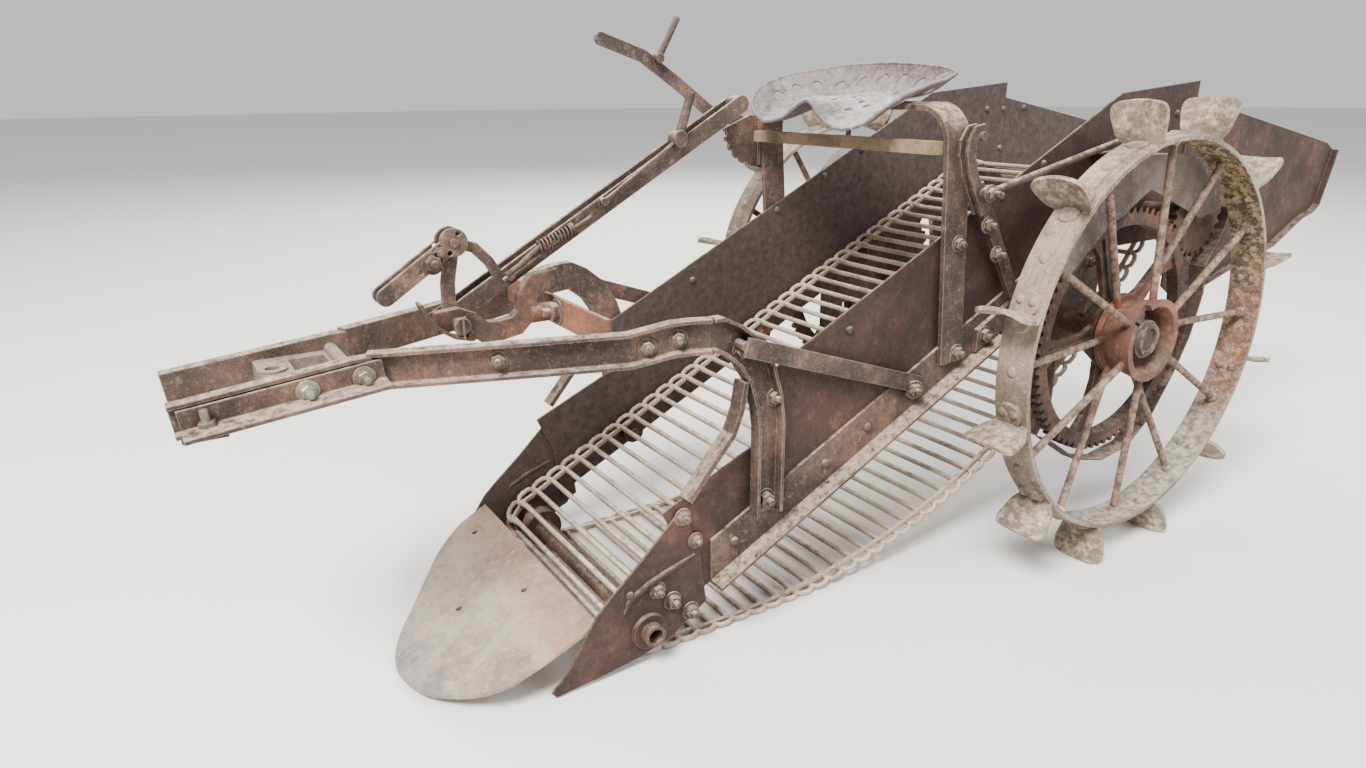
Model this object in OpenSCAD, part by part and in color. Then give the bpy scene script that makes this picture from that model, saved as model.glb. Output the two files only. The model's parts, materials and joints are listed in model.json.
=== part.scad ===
// Elevator potato harvester: a shovel, two side sheets, a rod chain and two lugged drive wheels.
// Millimetres. +Z is up, -Y is the direction of travel, +X is the machine's left side.
// The origin is on the floor under the middle of the bounding box.
// Side-view outlines are lists of [y from the axle, z], drawn with the axle at the height axle_drawn.
// Nose and shovel outlines are lists of [y, z] from the middle of the front roller shaft.

/* [Incline] */
// slope of the side sheets and of the rod chain, degrees
incline_deg = 26; // [20:0.5:32]
// height of the sheets' top edge line above the floor, at the axle
sheet_line = 898; // [860:1:940]
// height of the chain's rod line, at the axle
chain_line = 648; // [625:1:665]
// height of the angle irons' bottom line, at the axle
angle_line = 583; // [560:1:605]

/* [Side sheets] */
// half the clear width between the side sheets
half_gap = 263; // [230:1:300]
// thickness of the side sheets
sheet_t = 4; // [3:0.5:6]
// front edge of the tall part of the sheets
step_y = -855; // [-880:1:-835]
// start of the sheets' flat crest
crest_y = 110; // [60:1:160]
// rear edge of the side sheets
sheet_rear_y = 405; // [380:1:440]
// rise of the crest from front to rear
crest_rise = 24; // [0:1:40]
// depth of the angle irons' upright leg
angle_leg = 78; // [60:1:90]
// width of the angle irons' outward flange
angle_flange = 40; // [30:1:50]
// thickness of the angle irons
angle_t = 6; // [5:0.5:8]

/* [Nose and shovel] */
// length of the shovel along its slope
shovel_l = 309; // [290:1:340]
// slope of the shovel, degrees
shovel_deg = 20.4; // [16:0.1:25]
// thickness of the shovel plate
shovel_t = 8; // [6:0.5:10]
// radius of the bosses around the front roller shaft
boss_r = 33; // [28:1:40]

/* [Rear wings] */
// rear tip of the wings
wing_tip_y = 1130; // [1060:1:1180]
// height of the wings' front top corner
wing_front_z = 941; // [920:1:955]
// height of the wings' rear tip
wing_tip_z = 800; // [760:1:840]
// width of the turned lip along the wings' lower edge
wing_lip = 16; // [10:1:24]

/* [Wheels] */
// radius of the wheel rims
rim_r = 406; // [390:1:420]
// width of the rims
rim_w = 71; // [60:1:80]
// thickness of the rims
rim_t = 9; // [7:0.5:12]
// outer edge of the rims from the middle plane
rim_x = 489; // [480:1:505]
// how far the lugs stand out of the rims
lug_h = 82; // [60:1:90]
// width of a lug at its widest
lug_w = 116; // [90:1:125]
// thickness of a lug
lug_t = 9; // [6:0.5:12]
// number of lugs and of spokes on a wheel
spoke_n = 12; // [10:2:14]
// thickness of the spokes
spoke_d = 15; // [12:0.5:18]
// radius of the hubs at their open end
hub_r = 87; // [80:1:94]
// outer end of the hubs from the middle plane
hub_x = 481; // [474:1:489]
// radius of the axle
axle_r = 24; // [20:0.5:28]

/* [Gears] */
// tip radius of the ring gears
gear_r = 262; // [250:1:270]
// number of teeth on a ring gear
gear_n = 72; // [60:2:84]
// width of the gear teeth
gear_w = 26; // [20:1:32]
// middle plane of the gears
gear_x = 385; // [375:1:389]
// depth of the gear teeth
tooth_h = 12; // [9:0.5:14]
// number of arms of a ring gear
arm_n = 5; // [4:1:6]

/* [Chain] */
// distance from rod to rod along the chain
rod_pitch = 40; // [34:0.5:46]
// thickness of the chain's rods
rod_d = 11; // [9:0.5:13]
// half the length of a rod
rod_half = 244; // [215:1:252]
// radius of the chain's line around the head sprockets
head_r = 70; // [60:1:80]
// radius of the chain's line around the front rollers
foot_r = 46; // [38:1:52]
// radius of the slack return run's sag
sag_r = 1400; // [1300:10:1800]
// middle of the head shaft behind the axle
head_y = 262; // [240:1:285]
// middle of the front roller shaft
foot_y = -1082; // [-1100:1:-1065]
// radius of the rollers under the upper run
roller_r = 25; // [20:1:30]

/* [Draft beams] */
// depth of the draft beams
beam_h = 58; // [50:1:66]
// width of their flanges
beam_flange = 24; // [18:1:30]
// thickness of their web
beam_t = 6; // [5:0.5:8]
// place of the goosenecks' legs
leg_y = -838; // [-850:1:-826]
// where the beams start to run together
bend_y = -960; // [-985:1:-945]
// where the beams turn straight ahead again
toe_y = -1452; // [-1480:1:-1430]
// front end of the beams
beam_front_y = -1727; // [-1760:1:-1700]
// half the distance between the beams at the front
toe_x = 74; // [60:1:90]

/* [Levers] */
// length of the lift lever behind its pivot
lever_l = 700; // [640:1:760]
// slope of the lift lever, degrees
lever_deg = 29; // [20:0.5:40]
// depth of the lift lever's channel
lever_h = 32; // [26:1:38]
// width of the lift lever's channel
lever_w = 38; // [30:1:44]
// thickness of lever and link plates
plate_t = 6; // [5:0.5:8]

/* [Seat] */
// height of the seat arch's flat top
arch_z = 930; // [900:1:950]
// front to rear width of the seat arch
arch_w = 60; // [50:1:70]
// thickness of the seat arch's bar
arch_t = 10; // [8:0.5:12]
// radius of the arch's corners
arch_r = 60; // [45:1:75]
// lean of the posts, degrees
arch_lean = 4.5; // [0:0.5:9]
// width of the seat pan
seat_w = 400; // [370:1:430]
// thickness of the seat pan
seat_t = 5; // [4:0.5:8]

/* [Hidden] */
axle_drawn = 472.54;
rise = tan(incline_deg);
climb = cos(incline_deg);
slope = 180 / spoke_n;
lug_r = rim_r + lug_h;
axle_z = lug_r * cos(slope) + lug_t / 2 * sin(slope);
body_y = -(beam_front_y + wing_tip_y) / 2;
outer = half_gap + sheet_t;
head_z = line_z(head_y, chain_line) - head_r / climb;
foot_z = line_z(foot_y, chain_line) - foot_r / climb;
crest_z = line_z(crest_y, sheet_line);
angle_v = angle_leg / climb;
shaft_r = 17;
foot_shaft_r = 20;
foot_bore_r = 14;
pin_r = 7;
fit = 0.05;

function line_z(y, c) = c + rise * y;
function rev(p) = [for (i = [len(p) - 1:-1:0]) p[i]];
function unit(v) = v / norm(v);
function left(v) = [-v[1], v[0]];
function seg_n(p, i) = left(unit(p[i + 1] - p[i]));
function corner_n(p, i) =
  i == 0 ? seg_n(p, 0) :
  i == len(p) - 1 ? seg_n(p, i - 1) :
  (seg_n(p, i) + seg_n(p, i - 1)) / (1 + seg_n(p, i) * seg_n(p, i - 1));
function shifted(p, a) = [for (i = [0:len(p) - 1]) p[i] + corner_n(p, i) * a];
// The strip between two offsets of a path, both to its left.
function band(p, a, b) = concat(shifted(p, a), rev(shifted(p, b)));
// Points on an arc about c, from angle a0 to angle a1 in n steps.
function polar(r, a) = r * [cos(a), sin(a)];
function arc(c, r, a0, a1, n) = [for (i = [0:n]) c + polar(r, a0 + (a1 - a0) * i / n)];

module placed() translate([0, body_y, axle_z - axle_drawn]) children();
module sided(s) mirror([s < 0 ? 1 : 0, 0, 0]) children();
module at_foot() translate([0, foot_y, foot_z]) children();
// A flat plate: an outline in side view, from x to x + t.
module plate(p, x, t) translate([x, 0, 0]) rotate([90, 0, 90]) linear_extrude(t) polygon(p);
// A round bar along X from x0 to x1 at p, a [y, z] point.
module across(p, x0, x1, r) translate([x0, p[0], p[1]])
  rotate([0, 90, 0])
    cylinder(r = r, h = x1 - x0, $fn = 48);
// A round bar between two points.
module rod(a, b, d) {
  v = b - a;
  translate(a)
    rotate([0, acos(v[2] / norm(v)), atan2(v[1], v[0])])
      cylinder(d = d, h = norm(v), $fn = 24);
}
// A round bar in the plane x, between two [y, z] points.
module side_rod(x, a, b, d) rod([x, a[0], a[1]], [x, b[0], b[1]], d);
// A channel along an outline in side view: web at x, flanges towards +X.
module channel(p, h, x, t, f) {
  plate(band(p, h / 2, -h / 2), x, t);
  plate(band(p, h / 2, h / 2 - t), x, f);
  plate(band(p, t - h / 2, -h / 2), x, f);
}

// Nose plates: they lap over the front of the side sheets.
nose_back = 122;
lap = 36;
nose_edge = [[71, 215], [106, 136], [nose_back, 17]];
nose_top = [[-188, -55], [-170, -38], [-150, -16], [-120, 31], [-96, 65], [-70, 89], [-11, 139]];
nose_low = [[47, -32], [-18, -49], [-98, -59], [-180, -65]];
module nose(s) sided(s) placed() at_foot() color("#6b4a3e")
  difference() {
    union() {
      plate(concat(nose_top, nose_edge, nose_low), outer, sheet_t);
      across([0, 0], outer, outer + sheet_t + 8, boss_r);
    }
    across([0, 0], outer - 5, outer + sheet_t + 20, foot_shaft_r);
  }

// Shovel: a flat spade blade with a worn round point and three slots.
shovel_front = -386;
shovel_drop = 69;
// The worn edge from the far rear corner around the point: [share of the half width, share of the length].
worn_edge = [[-1, 1], [-0.94, 0.78], [-0.77, 0.57], [-0.57, 0.42], [-0.31, 0.24], [-0.11, 0.1], [0.1, 0.015],
  [0.3, 0.01], [0.56, 0.07], [0.775, 0.2], [0.92, 0.34], [0.985, 0.47], [1, 0.62], [1, 1]];
slots = [[6, 0.46], [72, 0.82], [-190, 0.82]];
module shovel() placed() at_foot() color("#a39a90") {
  run = shovel_l * cos(shovel_deg);
  outline = [for (q = worn_edge) [outer * q[0], run * q[1]]];
  translate([0, shovel_front, -shovel_drop])
    difference() {
      intersection() {
        rotate([shovel_deg, 0, 0])
          translate([-outer - 20, 0, 0])
            cube([2 * outer + 40, shovel_l + 20, shovel_t]);
        translate([0, 0, -50])
          linear_extrude(300)
            polygon(outline);
      }
      for (q = slots)
        translate([q[0], q[1] * run, -20])
          for (w = [-4, 4])
            translate([w, 0, 0])
              cylinder(r = 6, h = 200, $fn = 24);
    }
}

// Side sheets with the hole for the head shaft.
sheet_front = [for (q = nose_edge) [foot_y, foot_z] + q - [lap, 0]];
nose_rear_y = foot_y + nose_back;
module side_sheet(s) sided(s) placed() color("#5c4038")
  difference() {
    plate(concat(rev(sheet_front), [[foot_y + 112, foot_z + 248], [foot_y + 155, foot_z + 267],
      [step_y, line_z(step_y, sheet_line) - 115], [step_y, line_z(step_y, sheet_line)], [crest_y, crest_z],
      [sheet_rear_y, crest_z + crest_rise], [sheet_rear_y, head_z - 78], [head_y - 102, head_z - 78],
      [120, line_z(120, angle_line)], [nose_rear_y, line_z(nose_rear_y, angle_line)]]), half_gap, sheet_t);
    across([head_y, head_z], half_gap - 5, outer + 5, shaft_r);
  }

// Rear wings with a turned lip along the lower edge.
wing_tip = [wing_tip_y, wing_tip_z];
wing_low = [wing_tip + [0, -8], wing_tip + [-14, -60], wing_tip + [-44, -155], wing_tip + [-70, -172],
  wing_tip + [-125, -184], [870, 551], [700, 520], [546, 482], [430, 470]];
module wing(s) sided(s) placed() color("#54382f") {
  plate(concat([[sheet_rear_y - 25, wing_front_z], wing_tip + [-40, 12]], wing_low,
    [[sheet_rear_y - 25, 500]]), outer, sheet_t);
  plate(band(wing_low, 0, -sheet_t), outer, sheet_t + wing_lip);
}

// Angle irons along the sheets' lower edge. Their flange ends ahead of the wheels' gears.
angle_front = nose_rear_y + 10;
angle_rear = 225;
flange_rear = -230;
function along_angle(y, h) = [y, line_z(y, angle_line) + h];
module side_angle(s) sided(s) placed() color("#6f5347")
  for (q = [[angle_rear, angle_v, angle_t], [flange_rear, angle_t / climb, angle_flange]])
    plate([along_angle(angle_front, 0), along_angle(q[0], 0), along_angle(q[0], q[1]),
      along_angle(angle_front, q[1])], outer, q[2]);

// Draft beams: channels with goosenecks.
seat_gap = 0.2;
beam_x = outer + angle_t + seat_gap;
beam_z = 590;
dip_z = 566;
neck = [[bend_y, beam_z], [bend_y + 14, beam_z], [leg_y - 84, beam_z - 12], [leg_y - 52, beam_z - 38],
  [leg_y - 23, beam_z - 82], [leg_y - 7, beam_z - 132], [leg_y, beam_z - 180], [leg_y, 236]];
plan_a = atan2(beam_x - toe_x, bend_y - toe_y);
plan_l = (bend_y - toe_y) / cos(plan_a);
module draft_beam(s) sided(s) placed() color("#7a5548") {
  channel(neck, beam_h, beam_x, beam_t, beam_flange);
  translate([beam_x, bend_y, 0])
    rotate([0, 0, -plan_a])
      channel([[-plan_l, dip_z], [20 - plan_l, dip_z], [-plan_l / 2, dip_z + 4], [-130, dip_z + 7],
        [-60, beam_z - 2], [-30, beam_z], [4, beam_z]], beam_h, 0, beam_t, beam_flange);
  channel([[beam_front_y, dip_z - 26], [toe_y - 24, dip_z - 1], [toe_y, dip_z - 1]], beam_h - 8,
    toe_x, beam_t, beam_flange);
}

// Braces from the beams down to the angle irons.
brace_x = beam_x + beam_flange + seat_gap;
brace_y = -905;
brace_l = 450;
brace_drop = 158;
leg_rear = leg_y + beam_h / 2 - brace_y;
brace_in = atan2(brace_x - outer - angle_t - seat_gap, brace_l - leg_rear);
module brace(s) sided(s) placed() color("#6b4a3e")
  translate([brace_x + leg_rear * tan(brace_in) + seat_gap, brace_y, 0]) {
    rotate([0, 0, brace_in])
      plate(band([[0, dip_z], [brace_l, dip_z - brace_drop]], 17, -17), 0, 6);
    across([2, dip_z], beam_t - beam_flange - 6, 2, 9);
  }

// Curved straps inside the goosenecks.
strap_w = 30;
strap_top = [leg_y - 57, beam_z - 90];
module strap(s) sided(s) placed() color("#6b4a3e")
  plate(band([for (q = [[0, 0], [-9, -50], [-25, -90], [-65, -134], [-115, -192]]) strap_top + q], 5, -5),
    outer + seat_gap, strap_w);

// Hitch: an angle iron beside the left beam, a plate under both beams and a casting between them.
hitch_x = toe_x + beam_flange;
hitch_h = 34;
hitch_flange = 52;
hitch_line = [[beam_front_y + 9, dip_z - 25], [toe_y + 14, dip_z + 3]];
module hitch_angle() placed() color("#7a5548") {
  plate(band(hitch_line, hitch_h / 2, -hitch_h / 2), hitch_x, beam_t);
  plate(band(hitch_line, beam_t - hitch_h / 2, -hitch_h / 2), hitch_x, hitch_flange);
}

hitch_plate_t = 8;
module hitch_plate() placed() color("#7a5548")
  translate([-hitch_x, beam_front_y + 8, dip_z - 58.5])
    cube([2 * hitch_x, 60, hitch_plate_t]);

hitch_pin_y = beam_front_y + 147;
hitch_bore_r = 11;
module hitch_casting() placed() color("#9a948c")
  translate([0, hitch_pin_y, dip_z])
    difference() {
      union() {
        translate([-toe_x, -20, -31])
          cube([2 * toe_x, 130, 30]);
        translate([0, 0, -35])
          cylinder(r = 2 * hitch_bore_r, h = 38, $fn = 48);
        across([100, -1], -toe_x, toe_x, 11);
      }
      translate([25 - toe_x, 30, -46])
        cube([2 * toe_x - 50, 54, 60]);
      translate([0, 0, -66])
        cylinder(r = hitch_bore_r, h = 100, $fn = 48);
    }

// Cross plate between the goosenecks, with the casting that carries the lift lever.
cross_y = -1112;
cross_half = beam_x - (bend_y - cross_y) * tan(plan_a) - 0.3;
cross_h = 50;
cross_z = beam_z - 18;
module cross_bar() placed() color("#a0644a")
  translate([-cross_half, cross_y, cross_z])
    cube([2 * cross_half, 8, cross_h]);

lever_pivot = [cross_y - 180, beam_z + 12];
bracket_w = 20;
// The bent arm and the thin strap beside it: points from the lever's pivot.
bracket_arm = [[-34, 4], [2, 7], [26, -4], [46, -23], [77, -25], [106, -20], [125, -2], [127, 28], [146, 49],
  [188, 54]];
bracket_strap = [[-64, 44], [-53, 20], [-36, -2], [-13, -18], [17, -26]];
module lever_bracket() placed() color("#6b4a3e") {
  plate(band([for (q = bracket_arm) lever_pivot + q], 17, -17), 0, bracket_w);
  translate([bracket_w / 2, cross_y, cross_z + cross_h / 2])
    rod([0, -48, 0], [0, 0, 0], 34);
  across(lever_pivot, -58, 48, 9);
  plate(band([for (q = bracket_strap) lever_pivot + q], 2.5, -2.5), bracket_w - 2, 28);
  across(lever_pivot + [16, -20], bracket_w / 2, 46, 8);
}

// Lift lever: a channel open to the top, an upright and a curved bar that carry the link's pin.
lever_dir = polar(1, lever_deg);
link_pivot = lever_pivot + [15, 129];
function on_lever(l, h) = lever_pivot + l * lever_dir + h * left(lever_dir);
lever_x = -23;
module lift_lever() placed() color("#5c4038") {
  line = [on_lever(-22, 0), on_lever(lever_l, 0)];
  grip = on_lever(535, 22);
  upright = [lever_pivot, lever_pivot + [2, 60], link_pivot - [4, 26], link_pivot];
  curve = [for (q = [[0, 0], [38, -14], [62, -40], [80, -72]]) link_pivot + q];
  difference() {
    union() {
      plate(band(line, lever_h / 2, -lever_h / 2), lever_x, plate_t);
      plate(band(line, lever_h / 2, -lever_h / 2), lever_x - lever_w + plate_t, plate_t);
      plate(band(line, plate_t - lever_h / 2, -lever_h / 2), lever_x - lever_w + plate_t, lever_w);
      plate(band(upright, 12, -12), lever_x, plate_t);
      plate(band(curve, 9, -9), lever_x, plate_t);
      across(link_pivot, lever_x, lever_x + plate_t, 20);
    }
    across(lever_pivot, -90, 0, 9 + fit);
  }
  across(link_pivot, -44, -2, pin_r);
  across(on_lever(lever_l - 4, 0), lever_x - lever_w + plate_t, lever_x + plate_t, lever_h / 2);
  across(grip, lever_x, 2, 15);
  side_rod(-8, grip, grip + [28, 82], 17);
  side_rod(-8, grip, on_lever(340, 10), 6);
  across(on_lever(345, 9), lever_x, -4, 7);
  side_rod(-6, on_lever(110, 2), on_lever(250, -2), 9);
  for (l = [125, 240])
    across(on_lever(l, 1), lever_x, -2, 7);
}

// Front link: two plates with a row of holes, held apart by spacers.
link_l = 142;
link_deg = 213;
link_holes = [[8, 15], [-25, -6], [-8, -17], [-60, -43]];
function on_link(l) = link_pivot + polar(l, link_deg);
module front_link() placed() color("#5c4038")
  difference() {
    union() {
      for (x = [-12, -37]) {
        plate(band([on_link(link_l), on_link(10)], 15, -15), x, plate_t);
        across(link_pivot, x, x + plate_t, 24);
        across(on_link(link_l), x, x + plate_t, 15);
      }
      for (l = [link_l, 50])
        across(on_link(l), -37, -6, 8);
    }
    across(link_pivot, -50, 0, pin_r + fit);
    for (q = link_holes)
      across(link_pivot + q, -50, 0, 4.5);
  }

// Clutch shift lever with its squeeze grip, and the notched quadrant that carries it.
shift_pivot = [-440, 884];
post_x = outer + angle_t + seat_gap + arch_t;
quadrant_x = -post_x - 17;
shift_x = quadrant_x - 10;
module shift_lever() placed() color("#4f3a33") {
  path = [for (q = [[22, -5], [-120, 31], [-200, 88], [-295, 150], [-395, 183]]) shift_pivot + q];
  squeeze = shift_pivot + [-262, 146];
  difference() {
    plate(band(path, 13, -13), shift_x, 8);
    across(shift_pivot, shift_x - 10, shift_x + 20, pin_r + fit);
  }
  across(path[4], shift_x, shift_x + 8, 13);
  across(squeeze, shift_x, shift_x + 22, 10);
  side_rod(shift_x + 14, squeeze, squeeze + [48, 82], 14);
}

notch_n = 5;
module shift_quadrant() placed() color("#4f3a33") {
  difference() {
    plate(concat(arc(shift_pivot, 92, 182, 262, 10),
      [shift_pivot + [30, -100], shift_pivot + [46, 22], shift_pivot + [-20, 24]]), quadrant_x, 8);
    for (i = [0:notch_n - 1])
      across(shift_pivot + polar(92, 190 + 15 * i), quadrant_x - 1, quadrant_x + 10, 6);
  }
  across(shift_pivot, shift_x - 3, quadrant_x + 2, pin_r);
  plate([shift_pivot + [4, -90], shift_pivot + [46, -90], shift_pivot + [46, 10], shift_pivot + [4, 10]],
    quadrant_x, -post_x - seat_gap - quadrant_x);
}

// Seat: a dished pan with two thigh lobes, a notch between them and a row of holes along the back.
seat_mid = [-405, arch_z + 35.6];
seat_tilt = 21.5;
dish_r = 900;
lobe_r = seat_w / 4 - 3;
module seat() placed() color("#a8a4a0")
  translate([0, seat_mid[0], seat_mid[1]])
    difference() {
      intersection() {
        rotate([seat_tilt, 0, 0])
          translate([0, 0, dish_r - 9])
            difference() {
              sphere(r = dish_r + seat_t, $fn = 180);
              sphere(r = dish_r, $fn = 180);
            }
        translate([0, -50, -120])
          union() {
            intersection() {
              cylinder(r = seat_w / 2, h = 300, $fn = 96);
              translate([-seat_w, -8, 0])
                cube([2 * seat_w, seat_w, 300]);
            }
            for (s = [-1, 1])
              translate([s * (seat_w / 2 - lobe_r), -8, 0])
                cylinder(r = lobe_r, h = 300, $fn = 64);
            translate([lobe_r - seat_w / 2, -8 - lobe_r, 0])
              cube([seat_w - 2 * lobe_r, lobe_r + 8, 300]);
          }
      }
      translate([0, -170, -150])
        cylinder(r = 42, h = 300, $fn = 48);
      for (a = [30:20:150])
        translate([polar(155, a)[0], polar(155, a)[1] - 50, -150])
          cylinder(r = 12, h = 300, $fn = 24);
      for (q = [[-46, -60], [46, -60], [-30, -20], [30, -20], [0, 30]])
        translate([q[0], q[1], -150])
          cylinder(r = 8, h = 300, $fn = 24);
    }

// Seat arch: a flat bar bent over the machine.
arch_foot = 441;
arch_x = outer + angle_t + seat_gap;
arch_base_y = -373;
module seat_arch() placed() color("#6f5347") {
  top = (arch_z - arch_foot) / cos(arch_lean);
  half = [[arch_x, 0], [arch_x, top - arch_r]];
  bend = arc([arch_x - arch_r, top - arch_r], arch_r, 9, 81, 8);
  path = concat(half, bend, [for (q = rev(bend)) [-q[0], q[1]]], [for (q = rev(half)) [-q[0], q[1]]]);
  translate([0, arch_base_y, arch_foot])
    rotate([90 + arch_lean, 0, 0])
      translate([0, 0, -arch_w / 2])
        linear_extrude(arch_w)
          polygon(band(path, 0, -arch_t));
}

crossbar_z = 850;
crossbar_d = 24;
crossbar_top = crossbar_z + crossbar_d;
arch_front_y = arch_base_y - arch_w / 2 / cos(arch_lean);
crossbar_y = arch_front_y - (crossbar_top - arch_foot) * tan(arch_lean) - crossbar_d;
module seat_crossbar() placed() color("#a98f6c")
  translate([-outer - angle_t, crossbar_y - seat_gap, crossbar_z])
    cube([2 * (outer + angle_t), crossbar_d, crossbar_d]);

// Clutch throw-out: two hooked bars, the bar below them and the rod to the rear.
throw_x = arch_x + arch_t + seat_gap;
throw_pin = [arch_base_y + 14, arch_z - 151];
// The hooked bars: points from their pin.
throw_hook = [[-7, 114], [-27, 111], [-39, 93], [-40, 71], [-27, 33], [-3, -7], [14, -39]];
module throwout() placed() color("#8a8078") {
  for (x = [throw_x, throw_x + 18])
    plate(band([for (q = throw_hook) throw_pin + q], 11, -11), x, plate_t);
  plate(band([throw_pin + [-3, 13], throw_pin + [137, -213]], 13, -13), throw_x + plate_t, 12);
  for (q = [[-16, 103], [0, 0]])
    across(throw_pin + q, throw_x, throw_x + 30, 8);
}

module throwout_rod() placed() color("#8a8078") {
  side_rod(throw_x + 37.5, throw_pin, throw_pin + [459, 92], 14);
  across(throw_pin, throw_x + 30 + seat_gap, throw_x + 46, 11);
}

// Axle and its hangers.
module axle() placed() color("#6b4a3e")
  across([0, axle_drawn], -hub_x + 14, hub_x - 14, axle_r);

hanger_z = axle_drawn - 52;
hanger_t = 10;
module axle_hanger(s) sided(s) placed() color("#7a5548")
  difference() {
    plate([along_angle(-300, 12), along_angle(flange_rear + 5, 12), [-200, hanger_z + 3], [-90, hanger_z + 8],
      [-60, hanger_z], [60, hanger_z], [88, hanger_z + 24], along_angle(100, 60), along_angle(-300, 60)],
      outer + angle_t, hanger_t);
    across([0, axle_drawn], outer, outer + 40, axle_r);
  }

// A toothed wheel about the X axis: n teeth on tip radius r, each share of the pitch wide at tip and root.
module toothed(r, n, w, tip, root) {
  m = 360 / n;
  rotate([0, 90, 0])
    linear_extrude(w, center = true)
      polygon([for (i = [0:n - 1]) for (q = [[-root, 1], [-tip, 0], [tip, 0], [root, 1]])
        polar(r - tooth_h * q[1], m * (i + q[0]))]);
}

gear_hub_r = 84;
gear_hub_x = 350;
gear_hub_out = gear_x + 12;
arm_in = gear_hub_r - 14;
arm_out = gear_r - tooth_h - 18;
module ring_gear(s) sided(s) placed() color("#7a5c4e")
  translate([gear_x, 0, axle_drawn])
    difference() {
      union() {
        difference() {
          toothed(gear_r, gear_n, gear_w, 0.14, 0.34);
          rotate([0, 90, 0])
            cylinder(r = gear_r - tooth_h - 24, h = 2 * gear_w, center = true, $fn = 96);
        }
        translate([gear_hub_x - gear_x, 0, 0])
          rotate([0, 90, 0])
            cylinder(r1 = gear_hub_r - 26, r2 = gear_hub_r, h = gear_hub_out - gear_hub_x, $fn = 64);
        for (i = [0:arm_n - 1])
          rotate([360 / arm_n * (i + 0.3), 0, 0]) {
            plate([[-28, arm_in], [-17, arm_in + 38], [-17, arm_out - 44], [-40, arm_out],
              [40, arm_out], [17, arm_out - 44], [17, arm_in + 38], [28, arm_in]], -6, 12);
            plate([[-5, arm_in], [-5, arm_out], [5, arm_out], [5, arm_in]], -11, 22);
          }
      }
      rotate([0, 90, 0])
        cylinder(r = axle_r, h = 200, center = true, $fn = 48);
    }

// The chain's loop: the upper run, the head wrap, the sagging return run and the front wrap.
span = norm([head_y - foot_y, head_z - foot_z]);
run_l = sqrt(span * span - pow(head_r - foot_r, 2));
sag_a = sag_r - foot_r;
sag_b = sag_r - head_r;
sag_p = (span * span + sag_a * sag_a - sag_b * sag_b) / (2 * span);
chord = unit([head_y - foot_y, head_z - foot_z]);
sag_c = [foot_y, foot_z] + sag_p * chord + sqrt(sag_a * sag_a - sag_p * sag_p) * left(chord);
function slope_at(c) = atan2(sag_c[0] - c[0], c[1] - sag_c[1]);
head_out = slope_at([head_y, head_z]);
foot_in = slope_at([foot_y, foot_z]) - 360;
head_l = head_r * (incline_deg - head_out) * PI / 180;
sag_l = sag_r * (head_out - foot_in) * PI / 180;
foot_l = foot_r * (foot_in - incline_deg + 360) * PI / 180;
loop_l = run_l + head_l + sag_l + foot_l;
rod_n = round(loop_l / rod_pitch);
chain_step = loop_l / rod_n;
function from_angle(c, r, a) = c + r * [-sin(a), cos(a)];
function loop_at(s) =
  s < run_l ? from_angle([foot_y, foot_z], foot_r, incline_deg) + s * [climb, sin(incline_deg)] :
  s < run_l + head_l ? from_angle([head_y, head_z], head_r, incline_deg - (s - run_l) / head_r * 180 / PI) :
  s < run_l + head_l + sag_l ? from_angle(sag_c, sag_r, head_out - (s - run_l - head_l) / sag_r * 180 / PI) :
  from_angle([foot_y, foot_z], foot_r, foot_in - (s - run_l - head_l - sag_l) / foot_r * 180 / PI);
chain_points = [for (i = [0:rod_n - 1]) loop_at(chain_step * i)];

// Head shaft: the pinions mesh with the ring gears and the sprockets' teeth stand between the rods.
mesh_l = norm([head_y, head_z - axle_drawn]);
pinion_root = mesh_l - gear_r - 1.5;
pinion_n = round(gear_n * (pinion_root + tooth_h / 2) / (gear_r - tooth_h / 2));
mesh_a = atan2(head_y, axle_drawn - head_z);
pinion_a = mesh_a + 180 + mesh_a * gear_n / pinion_n - 180 / pinion_n;
sprocket_n = round(2 * PI * head_r / chain_step);
first_rod = ceil(run_l / chain_step);
tooth_a = incline_deg - (first_rod * chain_step - run_l) / head_r * 180 / PI - 180 / sprocket_n;
drum_r = head_r - rod_d / 2 - 0.4;
pinion_w = 17;
pinion_x = gear_x - (gear_w - pinion_w) / 2;
module head_shaft() placed() color("#6b5a50") {
  across([head_y, head_z], -pinion_x - 12, pinion_x + 12, shaft_r);
  for (s = [-1, 1]) {
    translate([s * pinion_x, head_y, head_z])
      rotate([pinion_a, 0, 0])
        toothed(pinion_root + tooth_h, pinion_n, pinion_w, 0.11, 0.3);
    across([head_y, head_z], s * 190 - 10, s * 190 + 10, drum_r);
    for (i = [0:sprocket_n - 1])
      translate([s * 190 - 7, head_y, head_z])
        rotate([tooth_a - i * 360 / sprocket_n, 0, 0])
          plate([[-9, drum_r - 6], [-4, drum_r + 12], [4, drum_r + 12], [9, drum_r - 6]], 0, 14);
  }
}

module foot_shaft() placed() at_foot() color("#6b5a50")
  difference() {
    union() {
      across([0, 0], -outer - 30, outer + 30, foot_shaft_r - 0.02);
      for (s = [-1, 1])
        across([0, 0], s * 190 - 15, s * 190 + 15, foot_r - rod_d / 2 - 0.4);
    }
    across([0, 0], -outer - 40, outer + 40, foot_bore_r);
  }

// Rollers under the upper run, on studs in the side sheets.
roller_y = [-820, -450, -90];
roller_drop = (roller_r + rod_d / 2 + 0.4) / climb;
module chain_rollers() placed() color("#6b5a50")
  for (s = [-1, 1])
    sided(s)
      for (y = roller_y) {
        across([y, line_z(y, chain_line) - roller_drop], half_gap - 25, half_gap - 2, roller_r);
        across([y, line_z(y, chain_line) - roller_drop], half_gap - 30, half_gap, 9);
      }

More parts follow.
